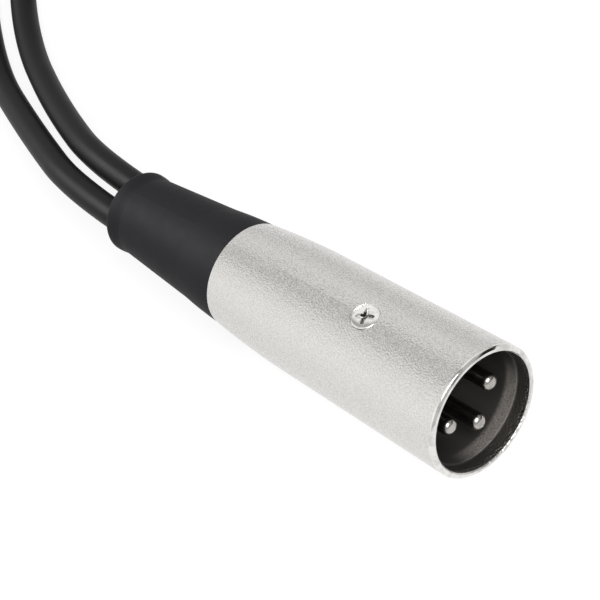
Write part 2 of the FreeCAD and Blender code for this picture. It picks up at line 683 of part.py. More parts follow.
def latch():
    """The latch: pivot eye with trunnions, arm, hook in the nose and a ribbed thumb tab."""
    arm_bottom = LATCH_ARM_TOP - LATCH_ARM_THICKNESS
    front = KEYWAY_DEPTH + LATCH_BRIDGE + LATCH_NOSE_GAP
    hook_front = HOOK_MIDDLE - HOOK_LENGTH / 2
    hook_rear = HOOK_MIDDLE + HOOK_LENGTH / 2
    side = section(
        (-front, arm_bottom),
        (-front, LATCH_ARM_TOP),
        (-hook_front - 0.2, LATCH_ARM_TOP),
        (-HOOK_MIDDLE, HOOK_TOP),
        (-hook_rear, HOOK_TOP),
        (-hook_rear, LATCH_ARM_TOP),
        (-PIVOT_DEPTH, LATCH_ARM_TOP),
        (-PIVOT_DEPTH, arm_bottom),
    )
    eye_end = Vector(-PIVOT_DEPTH, -LATCH_WIDTH / 2, PIVOT_HEIGHT)
    eye = Part.makeCylinder(PIVOT_EYE_RADIUS, LATCH_WIDTH, eye_end, Vector(0, 1, 0))
    trunnion_end = Vector(-PIVOT_DEPTH, -TRUNNION_SPAN / 2, PIVOT_HEIGHT)
    trunnions = Part.makeCylinder(TRUNNION_RADIUS, TRUNNION_SPAN, trunnion_end, Vector(0, 1, 0))
    return strip(side, LATCH_WIDTH).fuse([eye, trunnions, thumb_tab()]).removeSplitter()


def thumb_tab():
    """The tab that the thumb presses, with grooves across its top."""
    bottom = LATCH_ARM_TOP - LATCH_ARM_THICKNESS / 2
    tab = block(TAB_FRONT, TAB_FRONT + TAB_LENGTH, TAB_WIDTH, bottom, TAB_TOP)
    upper = [edge for edge in tab.Edges if edge.BoundBox.ZMin > TAB_TOP - 0.01]
    tab = tab.makeFillet(TAB_ROUND, upper)
    pitch = TAB_LENGTH / (TAB_GROOVES + 1)
    for index in range(TAB_GROOVES):
        middle = TAB_FRONT + pitch * (index + 1)
        groove = Part.makeCylinder(
            TAB_GROOVE, TAB_WIDTH + 1.0, Vector(-middle, -TAB_WIDTH / 2 - 0.5, TAB_TOP), Vector(0, 1, 0)
        )
        tab = tab.cut(groove)
    return tab


def latch_spring():
    """A leaf bent back on itself, between the slot's floor and the latch's arm."""
    bottom = SLOT_FLOOR + SPRING_GAP
    top = LATCH_ARM_TOP - LATCH_ARM_THICKNESS - SPRING_GAP
    rear = SPRING_FRONT + SPRING_LENGTH
    outer = (top - bottom) / 2
    inner = outer - SPRING_STRIP
    middle = bottom + outer
    bend = rear - outer
    side = section(
        (-SPRING_FRONT, bottom),
        (-bend, bottom),
        ((-bend - outer, middle), (-bend, top)),
        (-SPRING_FRONT - 1.2, top),
        (-SPRING_FRONT - 1.2, top - SPRING_STRIP),
        (-bend, top - SPRING_STRIP),
        ((-bend - inner, middle), (-bend, bottom + SPRING_STRIP)),
        (-SPRING_FRONT, bottom + SPRING_STRIP),
    )
    return strip(side, SPRING_WIDTH)


def female_plug(side, points):
    """Every piece of one female plug, by node name."""
    flange_rear = NOSE_LENGTH + RIM_BAND + SEAT_GAP + FLANGE_LENGTH
    cup_rear = NOSE_LENGTH + RIM_BAND + FLANGE_LENGTH + SOLDER_CUP_LENGTH
    surface = shell_radius(FEMALE_SCREW_DEPTH, NOSE_LENGTH, FEMALE_SHELL_LENGTH)
    name = f"female_{side}"
    pieces = {
        f"{name}_shell": female_shell(),
        f"{name}_insert": female_insert(),
        f"{name}_latch": latch(),
        f"{name}_latch_spring": latch_spring(),
        f"{name}_retaining_screw": retaining_screw(FEMALE_SCREW_DEPTH, surface),
        f"{name}_ground_contact": ground_contact(flange_rear, SHELL_BORE_RADIUS, SOCKET_RADIUS),
        f"{name}_cable_clamp": cable_clamp(FEMALE_SHELL_LENGTH, LEG_BOOT_POCKET_RADIUS, [0.0]),
        f"{name}_boot": boot(
            FEMALE_SHELL_LENGTH, LEG_BOOT_NECK_RADIUS, LEG_BOOT_COLLAR_RADIUS, LEG_BOOT_POCKET_RADIUS, [0.0]
        ),
    }
    for number in CONTACT_ANGLES:
        pieces[f"{name}_socket_{number}"] = female_socket(number)
    jacket_end = points[-1][0] - FEMALE_REAR_X + FEMALE_LENGTH
    for number, wire in wires(jacket_end, 0.0, cup_rear, 0.0).items():
        pieces[f"{name}_wire_{number}"] = wire
    return pieces


# Placing and writing


def place_male(shape):
    """Puts a piece of the male plug in the part's frame."""
    shape.translate(Vector(FACE_X, 0, RIM_RADIUS))
    return shape


def place_female(shape, y):
    """Turns a piece of a female plug to face -X and puts it in the part's frame."""
    shape.rotate(Vector(0, 0, 0), Vector(0, 0, 1), 180)
    shape.translate(Vector(FEMALE_REAR_X - FEMALE_LENGTH, y, RIM_RADIUS))
    return shape


def write(name, shape):
    """Writes one node."""
    shape.exportStep(os.path.join(PARTS_FOLDER, f"{name}.step"))


def main():
    """Builds every piece and writes it."""
    os.makedirs(PARTS_FOLDER, exist_ok=True)
    for name, shape in male_plug().items():
        write(name, place_male(shape))
    for side, points in LEGS.items():
        solid, length, radii = tube(points, CABLE_RADIUS)
        straight = math.pi * CABLE_RADIUS**2 * length
        print(f"cable_{side}: length {length:.1f} mm, volume ratio {solid.Volume / straight:.4f}")
        print(f"cable_{side}: radii {[round(radius, 1) for radius in radii]}")
        write(f"cable_{side}", solid)
        for name, shape in female_plug(side, points).items():
            write(name, place_female(shape, points[-1][1]))


main()
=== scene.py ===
"""Looks of a splitter cable for balanced audio: a male plug, a Y boot, two legs and two female plugs.

Lengths are in metres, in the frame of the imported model: +X runs out of the male plug's mouth and +Z is up.
"""

import math

import bpy
import numpy as np
from mathutils import Matrix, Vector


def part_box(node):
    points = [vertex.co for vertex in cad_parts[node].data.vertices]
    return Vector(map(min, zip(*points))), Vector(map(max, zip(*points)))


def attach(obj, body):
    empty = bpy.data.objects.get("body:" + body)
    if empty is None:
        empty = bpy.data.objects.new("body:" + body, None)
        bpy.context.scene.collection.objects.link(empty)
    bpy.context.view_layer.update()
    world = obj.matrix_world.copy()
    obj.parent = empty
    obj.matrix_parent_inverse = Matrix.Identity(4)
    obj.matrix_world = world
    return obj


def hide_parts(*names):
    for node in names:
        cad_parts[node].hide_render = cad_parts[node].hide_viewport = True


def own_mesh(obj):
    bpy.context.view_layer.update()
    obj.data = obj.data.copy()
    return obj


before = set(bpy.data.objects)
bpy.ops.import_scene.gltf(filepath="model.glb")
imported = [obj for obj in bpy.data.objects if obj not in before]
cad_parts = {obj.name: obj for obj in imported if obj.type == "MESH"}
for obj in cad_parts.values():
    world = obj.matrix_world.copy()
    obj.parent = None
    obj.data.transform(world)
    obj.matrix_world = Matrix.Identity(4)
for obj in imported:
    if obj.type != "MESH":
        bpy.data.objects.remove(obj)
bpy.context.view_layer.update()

bl_info = {
    "name": "Splitter Cable",
    "version": (1, 0, 0),
    "blender": (4, 5, 0),
    "location": "View3D > Sidebar > Splitter Cable",
    "description": "Finishes the pieces of a splitter cable and sets its studio",
    "category": "Object",
}

MM = 0.001
ROOT = "cable_set"
SIDES = ("a", "b")
MATT_PIECES = "matt_pieces"
WHITE = (1.0, 1.0, 1.0, 1.0)
AXIS_HEIGHT = 9.3 * MM
MALE_FACE = 34.35 * MM
FLOOR_HALF = 3.0
FLOOR_DROP = 0.02 * MM

# Each leg's route, from inside the Y boot to inside its female plug's boot.
LEG_ROUTES = {
    "a": [
        (-0.02215, 0.00265, 0.0093),
        (-0.04465, 0.00265, 0.0093),
        (-0.06600, 0.0091, 0.005484),
        (-0.08640, 0.0182, 0.0021),
        (-0.10380, 0.0326, 0.0021),
        (-0.12865, 0.0368, 0.0021),
        (-0.14865, 0.0306, 0.0021),
        (-0.16665, 0.0270, 0.0093),
        (-0.18500, 0.0270, 0.0093),
    ],
    "b": [
        (-0.02215, -0.00265, 0.0093),
        (-0.04465, -0.00265, 0.0093),
        (-0.06600, 0.00365, 0.005484),
        (-0.08680, 0.0110, 0.0021),
        (-0.10850, 0.0270, 0.0021),
        (-0.12865, 0.0282, 0.0021),
        (-0.14815, 0.0135, 0.0021),
        (-0.16665, 0.0075, 0.0093),
        (-0.18500, 0.0075, 0.0093),
    ],
}

# The camera's place and axes
CAMERA_PLACE = (218.21 * MM, -92.45 * MM, 265.16 * MM)
CAMERA_RIGHT = (0.6734, 0.6582, -0.3367)
CAMERA_UP = (-0.3923, 0.7041, 0.5919)
CAMERA_BACK = (0.6266, -0.2665, 0.7323)
CAMERA_LENS = 156.0

# The polished rim's profile: depth behind the mating face and distance from the axis, in millimetres.
# It has a small inner bevel, a land, a chamfer and a rounded outer edge, and its back lies in the shell.
RIM_PROFILE = (
    (0.55, 8.604),
    (0.16, 8.604),
    (0.13, 8.607),
    (0.01, 8.66),
    (-0.005, 8.675),
    (-0.012, 8.70),
    (-0.014, 8.93),
    (-0.010, 8.97),
    (0.005, 9.00),
    (0.025, 9.025),
    (0.235, 9.245),
    (0.265, 9.272),
    (0.31, 9.3),
    (0.37, 9.314),
    (0.50, 9.314),
    (0.56, 9.305),
    (0.62, 9.27),
    (0.60, 8.80),
)

# Where painted shade and painted light start and stop inside the male plug's mouth, in millimetres.
# MOUTH_WALL and
# CUP_WALL are distances from the axis, the others depths behind the mating face. Each pair is a soft step's
# two ends.
MOUTH_WALL = (8.62, 8.72)
SHADED_WALL_START = (0.75, 0.95)
SHADED_WALL_END = (2.0, 2.2)
CUP_WALL = (7.9, 8.0)
LIT_STRIP_START = (2.02, 2.2)
LIT_STRIP_END = (3.5, 4.4)
PAINTED_LIGHT_DEPTHS = (5.0, 12.0)

# The side of the cup where a lit strip is painted, as Y and Z, and the soft step towards it in shares of the
# cup's radius
CUP_RADIUS = 8.1 * MM
LIT_STRIP_SIDE = (0.42, -0.9)
LIT_STRIP_SPAN = (0.35, 0.9)

# A retaining screw: the radii of its head and shank, its heights, and the lean of its head
SCREW_HEAD = 2.0 * MM
SCREW_HEAD_DEPTH = 0.75 * MM
SCREW_DOME = 0.16 * MM
SCREW_EDGE_DROP = 0.06 * MM
SCREW_LEAN = 0.05
SCREW_SHANK = 1.0 * MM
SCREW_LENGTH = 4.0 * MM

# The screw's cross recess and the burr along its arms
RECESS_REACH = 1.35 * MM
RECESS_HALF_WIDTH = 0.36 * MM
RECESS_DEPTH = 0.62 * MM
RECESS_WALL = 0.15 * MM
BURR_HEIGHT = 0.03 * MM
BURR_WIDTH = 0.07 * MM
BURR_OFFSET = 0.05 * MM

# How far each screw is turned about its own axis, in degrees
SCREW_TURNS = {"male": 24.0, "female_a": 61.0, "female_b": 8.0}

# The lamps' places and widths
KEY_PLACE = (0.36, -0.1, 0.5)
KEY_WIDTH = 0.4
CABLE_LIGHT_PLACE = (-0.46, -0.17, 0.42)
CABLE_LIGHT_WIDTH = 0.36

# The tent that mirror-like surfaces see. Each pair is a soft step's two ends: GAP and NEAR_SIDE in degrees
# from straight up towards +Y, FRONT, SLIT_TOP and SLIT_SIDE as X, Z and Y of the direction to the tent.
# SLIT_FRONT_RISE lifts SLIT_TOP at the front. The darknesses and the gain are shares of its brightness.
GAP_START = (-10.0, 4.0)
GAP_END = (12.0, 26.0)
GAP_DARKNESS = 0.57
NEAR_SIDE = (-62.0, -30.0)
NEAR_SIDE_GAIN = 0.17
FRONT = (-0.1, 0.4)
FRONT_DARKNESS = 0.45
SLIT_TOP = (0.13, 0.2)
SLIT_SIDE = (0.3, 0.7)
SLIT_DARKNESS = 0.76
SLIT_FRONT_DARKNESS = 0.2
SLIT_FRONT_RISE = 0.16


# Colour, nodes and meshes


def linear(code):
    """A colour written as an sRGB hex value, in linear light."""
    shares = [int(code[at : at + 2], 16) / 255 for at in (0, 2, 4)]
    light = [share / 12.92 if share <= 0.04045 else ((share + 0.055) / 1.055) ** 2.4 for share in shares]
    return (*light, 1.0)


def add_node(tree, kind, inputs=None, **settings):
    """Adds one node with its settings. An input takes a number, or the socket that feeds it."""
    node = tree.nodes.new(kind)
    for name, value in settings.items():
        setattr(node, name, value)
    for name, value in (inputs or {}).items():
        if isinstance(value, bpy.types.NodeSocket):
            tree.links.new(value, node.inputs[name])
        else:
            node.inputs[name].default_value = value
    return node


def new_material(name):
    """An empty node material and its tree."""
    material = bpy.data.materials.new(name)
    material.use_nodes = True
    material.node_tree.nodes.clear()
    return material, material.node_tree


def close_material(tree, inputs):
    """Ends a material in one Principled shader."""
    shader = add_node(tree, "ShaderNodeBsdfPrincipled", inputs)
    add_node(tree, "ShaderNodeOutputMaterial", {"Surface": shader.outputs["BSDF"]})


def share_of(tree, value, start, end):
    """Rises smoothly from 0 to 1 as a value goes from start to end."""
    inputs = {"Value": value, "From Min": start, "From Max": end}
    return add_node(tree, "ShaderNodeMapRange", inputs, interpolation_type="SMOOTHSTEP").outputs["Result"]


def blend_colours(tree, share, first, second):
    """The first colour at share 0 and the second at share 1."""
    node = add_node(tree, "ShaderNodeMix", data_type="RGBA")
    for socket, value in ((node.inputs[0], share), (node.inputs[6], first), (node.inputs[7], second)):
        if isinstance(value, bpy.types.NodeSocket):
            tree.links.new(value, socket)
        else:
            socket.default_value = value
    return node.outputs[2]


def calculate(tree, operation, first, second=0.0, third=0.0):
    """One step of arithmetic on numbers or sockets."""
    node = add_node(tree, "ShaderNodeMath", operation=operation)
    for socket, value in zip(node.inputs, (first, second, third)):
        if isinstance(value, bpy.types.NodeSocket):
            tree.links.new(value, socket)
        else:
            socket.default_value = value
    return node.outputs[0]


def noise(tree, place, width, detail=2.0, roughness=0.5):
    """Noise whose lumps are about the given width across."""
    inputs = {"Vector": place, "Scale": 1.0 / width, "Detail": detail, "Roughness": roughness}
    return add_node(tree, "ShaderNodeTexNoise", inputs).outputs["Fac"]


def bump(tree, height, rise):
    """A surface raised by a height of 0 to 1 times the rise."""
    inputs = {"Height": height, "Distance": rise, "Strength": 1.0}
    return add_node(tree, "ShaderNodeBump", inputs).outputs["Normal"]


def finish_node(name, material):
    """Gives a node of the frame its finish."""
    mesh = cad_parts[name].data
    mesh.materials.clear()
    mesh.materials.append(material)


def mesh_piece(name, points, faces, material):
    """A new piece from an array of points and a list of faces, smooth, at the origin."""
    mesh = bpy.data.meshes.new(name)
    mesh.from_pydata(points.tolist(), [], faces)
    mesh.polygons.foreach_set("use_smooth", np.ones(len(mesh.polygons), bool))
    mesh.materials.append(material)
    mesh.update()
    piece = bpy.data.objects.new(name, mesh)
    bpy.context.scene.collection.objects.link(piece)
    return piece


# Finishes


def mouth_place(tree, place):
    """Depth behind the male plug's mating face and distance from its axis, both in millimetres."""
    inputs = {"Vector": place, "Location": (-MALE_FACE, 0.0, -AXIS_HEIGHT)}
    moved = add_node(tree, "ShaderNodeMapping", inputs, vector_type="POINT").outputs["Vector"]
    along = add_node(tree, "ShaderNodeSeparateXYZ", {"Vector": moved}).outputs["X"]
    depth = calculate(tree, "MULTIPLY", along, -1.0 / MM)
    flat = add_node(tree, "ShaderNodeVectorMath", {0: moved, 1: (0.0, 1.0, 1.0)}, operation="MULTIPLY")
    away = add_node(tree, "ShaderNodeVectorMath", {0: flat.outputs[0]}, operation="LENGTH").outputs["Value"]
    return depth, calculate(tree, "MULTIPLY", away, 1.0 / MM)


def satin_nickel(name, settings, mouth=False):
    """Nickel plate on zinc, blasted to a fine pearly grain. In a mouth, a band of the wall just inside the
    rim is painted dark as shade.
    """
    material, tree = new_material(name)
    place = add_node(tree, "ShaderNodeTexCoord").outputs["Object"]
    grain = noise(tree, place, settings.grain, 1.0, 0.4)
    patches = noise(tree, place, 5 * settings.grain, 3.0, 0.6)
    sparkle = share_of(tree, noise(tree, place, 0.75 * settings.grain, 0.0), 0.3, 0.7)
    colour = blend_colours(tree, patches, linear("D6D3D0"), linear("DFDDDA"))
    colour = blend_colours(tree, calculate(tree, "MULTIPLY", sparkle, 0.3), colour, linear("AAA7A4"))
    roughness = calculate(tree, "MULTIPLY_ADD", patches, 0.12, settings.roughness - 0.06)
    if mouth:
        depth, away = mouth_place(tree, place)
        inside = calculate(tree, "SUBTRACT", 1.0, share_of(tree, away, *MOUTH_WALL))
        deep = share_of(tree, depth, *SHADED_WALL_START)
        shallow = calculate(tree, "SUBTRACT", 1.0, share_of(tree, depth, *SHADED_WALL_END))
        # Painted shade: the mouth's wall between about 0.8 and 2.2 mm deep is darkened as if in shadow.
        shaded_wall = calculate(tree, "MULTIPLY", inside, calculate(tree, "MULTIPLY", deep, shallow))
        colour = blend_colours(tree, shaded_wall, colour, linear("6A6662"))
        roughness = calculate(tree, "MAXIMUM", roughness, calculate(tree, "MULTIPLY", shaded_wall, 0.5))
    normal = bump(tree, grain, settings.grain_height)
    close_material(tree, {"Base Color": colour, "Metallic": 1.0, "Roughness": roughness, "Normal": normal})
    return material


def moulded_plastic(name, code, grain, roughness, rise, specular=0.5):
    """Injection-moulded plastic or rubber: one colour with a fine, even mould texture."""
    material, tree = new_material(name)
    place = add_node(tree, "ShaderNodeTexCoord").outputs["Object"]
    texture = noise(tree, place, grain, 2.0)
    clouds = noise(tree, place, 14 * grain, 2.0)
    dark = tuple(0.86 * part for part in linear(code)[:3])
    colour = blend_colours(tree, clouds, (*dark, 1.0), linear(code))
    spread = calculate(tree, "MULTIPLY_ADD", clouds, 0.14, roughness - 0.07)
    inputs = {
        "Base Color": colour,
        "Roughness": spread,
        "Specular IOR Level": specular,
        "Normal": bump(tree, texture, rise),
    }
    close_material(tree, inputs)
    return material


def turned_metal(name, code, roughness, grain, rise, shaded=None):
    """Machined and plated metal with faint tool marks and small changes in its polish.

    Where the mesh's shaded attribute is 1, as in a recess, painted shade darkens it.
    """
    material, tree = new_material(name)
    place = add_node(tree, "ShaderNodeTexCoord").outputs["Object"]
    marks = noise(tree, place, grain, 3.0, 0.6)
    wear = noise(tree, place, 6 * grain, 3.0, 0.6)
    dull = tuple(0.72 * part for part in linear(code)[:3])
    colour = blend_colours(tree, share_of(tree, wear, 0.4, 0.7), linear(code), (*dull, 1.0))
    if shaded is not None:
        # Painted shade: a dark colour where the attribute marks a recess.
        recess_shade = add_node(tree, "ShaderNodeAttribute", attribute_name=shaded).outputs["Fac"]
        colour = blend_colours(tree, recess_shade, colour, linear("33302E"))
    spread = calculate(tree, "MULTIPLY_ADD", wear, 0.2, roughness - 0.08)
    normal = bump(tree, marks, rise)
    close_material(tree, {"Base Color": colour, "Metallic": 1.0, "Roughness": spread, "Normal": normal})
    return material


# Settings


class SPLITTER_PG_shells(bpy.types.PropertyGroup):
    """Finish of the three shells and the two latches."""

    grain: bpy.props.FloatProperty(
        name="Grain",
        description="Width of a grain of the blasted finish",
        default=0.24 * MM,
        unit="LENGTH",
        precision=6,
    )
    grain_height: bpy.props.FloatProperty(
        name="Grain height", description="Height of a grain", default=0.1 * MM, unit="LENGTH", precision=6
    )
    roughness: bpy.props.FloatProperty(
        name="Roughness", description="Roughness of the satin plate", default=0.25, subtype="FACTOR"
    )


class SPLITTER_PG_cables(bpy.types.PropertyGroup):
    """Sizes of the legs."""

    diameter: bpy.props.FloatProperty(
        name="Diameter",
        description="Diameter of a leg's jacket",
        default=4.2 * MM,
        unit="LENGTH",
        precision=5,
    )


class SPLITTER_PG_stage(bpy.types.PropertyGroup):
    """Power of the lamps and brightness of the tent and the fill."""

    key_power: bpy.props.FloatProperty(
        name="Key light", description="Power of the soft light above", default=2.9, unit="POWER"
    )
    cable_power: bpy.props.FloatProperty(
        name="Cable light",
        description="Power of the light on the boots and cables",
        default=5.0,
        unit="POWER",
    )
    sky: bpy.props.FloatProperty(
        name="Sky", description="Brightness of the white tent that the metal reflects", default=1.0
    )
    fill: bpy.props.FloatProperty(
        name="Fill", description="Brightness of the light from all sides on matt surfaces", default=0.36
    )


# Pieces


class SPLITTER_OT_shells(bpy.types.Operator):
    """Finishes the three shells and the latches in satin nickel."""

    bl_idname = "splitter.shells"
    bl_label = "Shells and Latches"

    def execute(self, context):
        settings = context.scene.splitter_shells
        finish_node("male_shell", satin_nickel("satin_nickel_male", settings, mouth=True))
        for side in SIDES:
            finish_node(f"female_{side}_shell", satin_nickel(f"satin_nickel_{side}", settings))
        latch = satin_nickel("satin_nickel_latch", settings)
        for side in SIDES:
            finish_node(f"female_{side}_latch", latch)
        return {"FINISHED"}


def cup_lining(name):
    """Glass-filled nylon of the male insert: matt black, with a painted grey lit strip low in the cup near
    the mouth, and its black painted lighter deeper in.
    """
    material, tree = new_material(name)
    place = add_node(tree, "ShaderNodeTexCoord").outputs["Object"]
    depth, away = mouth_place(tree, place)
    texture = noise(tree, place, 0.16 * MM, 3.0, 0.6)
    parts = add_node(tree, "ShaderNodeSeparateXYZ", {"Vector": place})
    # Painted light: a grey strip on the cup's lower wall, about 2 to 4 mm deep, where light through the
    # mouth falls.
    side_y, side_z = LIT_STRIP_SIDE
    axis_share = -side_z * AXIS_HEIGHT / CUP_RADIUS
    lower = calculate(tree, "MULTIPLY_ADD", parts.outputs["Z"], side_z / CUP_RADIUS, axis_share)
    lower = calculate(tree, "MULTIPLY_ADD", parts.outputs["Y"], side_y / CUP_RADIUS, lower)
    side = share_of(tree, lower, *LIT_STRIP_SPAN)
    wall = calculate(tree, "MULTIPLY", side, share_of(tree, away, *CUP_WALL))
    start = share_of(tree, depth, *LIT_STRIP_START)
    end = calculate(tree, "SUBTRACT", 1.0, share_of(tree, depth, *LIT_STRIP_END))
    painted_lit_strip = calculate(tree, "MULTIPLY", wall, calculate(tree, "MULTIPLY", start, end))
    # Painted light: the cup's black turns lighter from 5 to 12 mm deep, where little light reaches.
    black = blend_colours(tree, share_of(tree, depth, *PAINTED_LIGHT_DEPTHS), linear("373634"), linear("4E4C4A"))
    grey = blend_colours(tree, share_of(tree, texture, 0.35, 0.65), linear("5A5652"), linear("8F8984"))
    colour = blend_colours(tree, painted_lit_strip, black, grey)
    inputs = {
        "Base Color": colour,
        "Roughness": 0.55,
        "Specular IOR Level": 0.25,
        "Normal": bump(tree, texture, 0.012 * MM),
    }
    close_material(tree, inputs)
    return material


class SPLITTER_OT_inserts(bpy.types.Operator):
    """Finishes the black insulators."""

    bl_idname = "splitter.inserts"
    bl_label = "Inserts"

    def execute(self, context):
        black = moulded_plastic("glass_filled_nylon", "2A2928", 0.12 * MM, 0.42, 0.006 * MM)
        for name in ("female_a_insert", "female_b_insert"):
            finish_node(name, black)
        finish_node("male_insert", cup_lining("glass_filled_nylon_cup"))
        return {"FINISHED"}


class SPLITTER_OT_contacts(bpy.types.Operator):
    """Finishes the pins, sockets, ground contacts and springs, and gives each latch spring its own mesh."""

    bl_idname = "splitter.contacts"
    bl_label = "Contacts"

    def execute(self, context):
        silver = turned_metal("silver_plated_brass", "DDD9D2", 0.24, 0.1 * MM, 0.003 * MM)
        pins = turned_metal("nickel_plated_pin", "B4B1AD", 0.2, 0.2 * MM, 0.008 * MM)
        bronze = turned_metal("spring_bronze", "C79A5C", 0.3, 0.15 * MM, 0.003 * MM)
        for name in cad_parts:
            if "_pin_" in name:
                finish_node(name, pins)
            elif "_socket_" in name:
                finish_node(name, silver)
            elif name.endswith(("ground_contact", "latch_spring")):
                finish_node(name, bronze)
        for side in SIDES:
            name = f"female_{side}_latch_spring"
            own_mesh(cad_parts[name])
        return {"FINISHED"}


class SPLITTER_OT_boots(bpy.types.Operator):
    """Finishes the three boots."""

    bl_idname = "splitter.boots"
    bl_label = "Boots"

    def execute(self, context):
        rubber = moulded_plastic("moulded_pvc_boot", "18181A", 0.16 * MM, 0.58, 0.008 * MM, 0.07)
        for name in ("y_boot", "female_a_boot", "female_b_boot"):
            finish_node(name, rubber)
            bpy.data.collections[MATT_PIECES].objects.link(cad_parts[name])
        return {"FINISHED"}


class SPLITTER_OT_inner_pieces(bpy.types.Operator):
    """Finishes the clamps and the insulated wires inside the plugs."""

    bl_idname = "splitter.inner_pieces"
    bl_label = "Clamps and Wires"

    def execute(self, context):
        nylon = moulded_plastic("natural_nylon", "D9D5C8", 0.2 * MM, 0.45, 0.004 * MM)
        codes = {"1": "1B1B1B", "2": "B0201C", "3": "E4E2DC"}
        wires = {
            number: moulded_plastic(f"wire_insulation_{number}", code, 0.1 * MM, 0.4, 0.002 * MM)
            for number, code in codes.items()
        }
        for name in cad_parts:
            if name.endswith("cable_clamp"):
                finish_node(name, nylon)
            elif "_wire_" in name:
                finish_node(name, wires[name[-1]])
        return {"FINISHED"}


def turned_surface(profile):
    """Points and faces of a closed profile turned about the male plug's axis.

    The point (i, j) lies at the profile's depth i behind the mating face, and at the profile's distance i
    from the axis in the direction of the angle 2 pi j / 256.
    """
    around = 256
    depth, radius = np.array(profile).T * MM
    angle = np.linspace(0.0, 2 * np.pi, around, endpoint=False)
    x = np.repeat((MALE_FACE - depth)[:, None], around, axis=1)
    y = np.outer(radius, np.cos(angle))
    z = AXIS_HEIGHT + np.outer(radius, np.sin(angle))
    grid = np.stack([x, y, z], axis=-1)
    index = np.arange(grid.shape[0] * grid.shape[1]).reshape(grid.shape[:2])
    below = np.roll(index, -1, axis=0)
    quads = np.stack([index, below, np.roll(below, -1, axis=1), np.roll(index, -1, axis=1)], axis=-1)
    return grid.reshape(-1, 3), quads.reshape(-1, 4)


class SPLITTER_OT_rim(bpy.types.Operator):
    """Makes the polished rim around the male plug's mouth."""

    bl_idname = "splitter.rim"
    bl_label = "Polished Rim"

    def execute(self, context):
        chrome = turned_metal("polished_nickel_rim", "E4E2DF", 0.08, 0.3 * MM, 0.004 * MM)
        points, faces = turned_surface(RIM_PROFILE)
        rim = mesh_piece("polished_rim", points, faces.tolist(), chrome)
        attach(rim, ROOT)
        return {"FINISHED"}


class SPLITTER_OT_cables(bpy.types.Operator):
    """Lays the two legs."""

    bl_idname = "splitter.cables"
    bl_label = "Legs"

    def execute(self, context):
        diameter = context.scene.splitter_cables.diameter
        jacket = moulded_plastic("pvc_cable_jacket", "0F0F10", 0.3 * MM, 0.45, 0.002 * MM, 0.09)
        for side, route in LEG_ROUTES.items():
            curve = bpy.data.curves.new(f"leg_{side}", "CURVE")
            curve.dimensions = "3D"
            curve.bevel_depth = diameter / 2
            curve.bevel_resolution = 8
            curve.resolution_u = 24
            curve.use_fill_caps = True
            spline = curve.splines.new("NURBS")
            spline.points.add(len(route) - 1)
            for point, place in zip(spline.points, route):
                point.co = (*place, 1.0)
            spline.order_u = 3
            spline.use_endpoint_u = True
            curve.materials.append(jacket)
            leg = bpy.data.objects.new(f"leg_{side}", curve)
            context.scene.collection.objects.link(leg)
            bpy.data.collections[MATT_PIECES].objects.link(leg)
            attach(leg, ROOT)
            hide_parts(f"cable_{side}")
            plug = [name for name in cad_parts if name.startswith(f"female_{side}_")]
            plug.remove(f"female_{side}_retaining_screw")
            plug.append(f"female_{side}_screw")
        return {"FINISHED"}


def screw_surface(top, turn):
    """Points, quads, end fans and painted-shade shares of a countersunk screw at the origin, turned by an
    angle.

    The head's rim is at the height top. The head falls as the fifth power of the radius, less a cross
    recess. The recess is as deep as the smooth step of how far a point lies inside the nearer arm, whose
    half width narrows outwards, times a slope that rises to the surface at the arm's end. Below the rim a
    cone, a shank and a foot close it. A share of 1 marks the darkest part of the recess.
    """
    around = 192
    rings = 72
    angles = np.linspace(0.0, 2 * np.pi, around, endpoint=False)
    radii = SCREW_HEAD * np.linspace(0.0, 1.0, rings + 1)[1:] ** 0.9
    angle, radius = np.meshgrid(angles, radii)
    x = radius * np.cos(angle)
    y = radius * np.sin(angle)
    near = np.minimum(np.abs(x), np.abs(y))
    lean = -SCREW_LEAN * y
    reach = radius / RECESS_REACH
    half_width = RECESS_HALF_WIDTH * (1.15 - 0.45 * reach)
    inside = np.clip((half_width - near) / RECESS_WALL, 0.0, 1.0)
    inside = inside * inside * (3 - 2 * inside)
    slope = np.clip((1.0 - reach) / 0.55, 0.0, 1.0) ** 0.6
    recess = RECESS_DEPTH * inside * slope
    burr = BURR_HEIGHT * np.exp(-(((half_width - near + BURR_OFFSET) / BURR_WIDTH) ** 2)) * (reach < 1.0)
    edge = np.clip((radius - 0.93 * SCREW_HEAD) / (0.07 * SCREW_HEAD), 0.0, 1.0)
    dome = SCREW_DOME * (1 - (radius / SCREW_HEAD) ** 5)
    height = top + dome - recess + burr - SCREW_EDGE_DROP * edge**2 + lean
    # Painted shade: the share is highest on the recess walls, where the colour is darkened as shade.
    share = slope * np.clip(0.3 * inside + 3.4 * inside * (1 - inside), 0.0, 1.0)
    grid = np.stack([x, y, height], axis=-1)
    neck = top - SCREW_HEAD_DEPTH
    foot = top - SCREW_LENGTH
    tip = foot - 0.01 * MM
    low = [(SCREW_SHANK, neck), (SCREW_SHANK, foot), (0.6 * SCREW_SHANK, tip)]
    bottom = np.array([[(r * np.cos(a), r * np.sin(a), z) for a in angles] for r, z in low])
    grid = np.concatenate([grid, bottom])
    count = len(grid)
    centre_top = (0.0, 0.0, top + SCREW_DOME - RECESS_DEPTH)
    centre_foot = (0.0, 0.0, tip)
    points = np.concatenate([grid.reshape(-1, 3), [centre_top, centre_foot]])
    cosine, sine = math.cos(turn), math.sin(turn)
    points[:, :2] = points[:, :2] @ np.array([[cosine, sine], [-sine, cosine]])
    index = np.arange(count * around).reshape(count, around)
    after = np.roll(index, -1, axis=1)
    quads = np.stack([index[:-1], index[1:], after[1:], after[:-1]], axis=-1).reshape(-1, 4)
    first = np.stack([np.full(around, count * around), index[0], after[0]], axis=-1)
    last = np.stack([np.full(around, count * around + 1), after[-1], index[-1]], axis=-1)
    shares = np.concatenate([share.ravel(), np.zeros(3 * around), [1.0, 0.0]])
    return points, quads, np.concatenate([first, last]), shares


